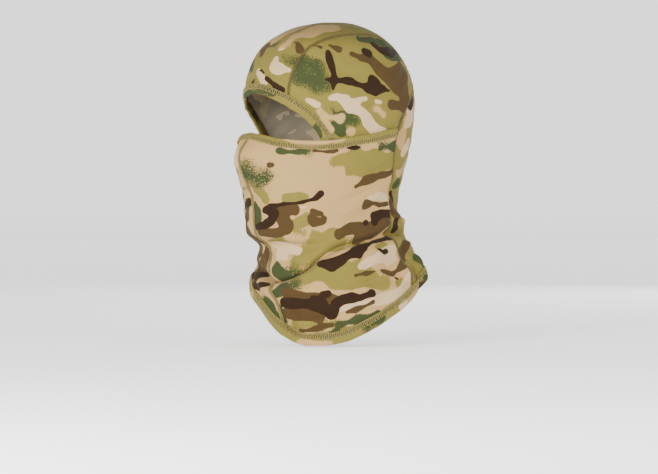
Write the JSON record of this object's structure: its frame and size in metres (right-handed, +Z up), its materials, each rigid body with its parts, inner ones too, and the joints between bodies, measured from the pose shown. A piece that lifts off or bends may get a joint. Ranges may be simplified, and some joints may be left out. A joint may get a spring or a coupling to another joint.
{
  "type": "balaclava",
  "caption": "Hinged camouflage balaclava: a close hood with an open face and a separate mask and neck front that folds down.",
  "frame": {"origin": "centre of the wearer's head at its widest section, level with the brow", "axes": "+Z up along the worn head, the face looks along -Y, the wearer's left is +X"},
  "size_m": [0.1872, 0.2219, 0.3492],
  "materials": {
    "crown_cloth": "matte printed knit",
    "side_cloth": "matte printed knit",
    "mask_cloth": "matte printed knit",
    "binding_cloth": "matte printed knit",
    "thread": "soft thread",
    "elastic": "matte",
    "label": "satin ribbon"
  },
  "bodies": {
    "hood": {"crown_panel": "crown_cloth", "left_side_panel": "side_cloth", "right_side_panel": "side_cloth", "left_mask_panel": "mask_cloth", "right_mask_panel": "mask_cloth", "face_binding": "binding_cloth", "hem_binding": "binding_cloth", "face_binding_stitching": "thread", "hem_binding_stitching": "thread", "left_crown_seam": "thread", "right_crown_seam": "thread", "left_back_seam": "thread", "right_back_seam": "thread", "front_seam": "thread", "care_label": "label"},
    "mask": {"mask_binding": "binding_cloth", "mask_elastic": "elastic", "mask_binding_stitching": "thread"}
  },
  "joints": [
    {"name": "mask_drop", "type": "hinge", "parent": "hood", "child": "mask", "pos_m": [0, 0.04, -0.03], "axis": [1, 0, 0], "range_deg": [0, 40], "deforming": ["left_mask_panel", "right_mask_panel", "front_seam"]}
  ]
}
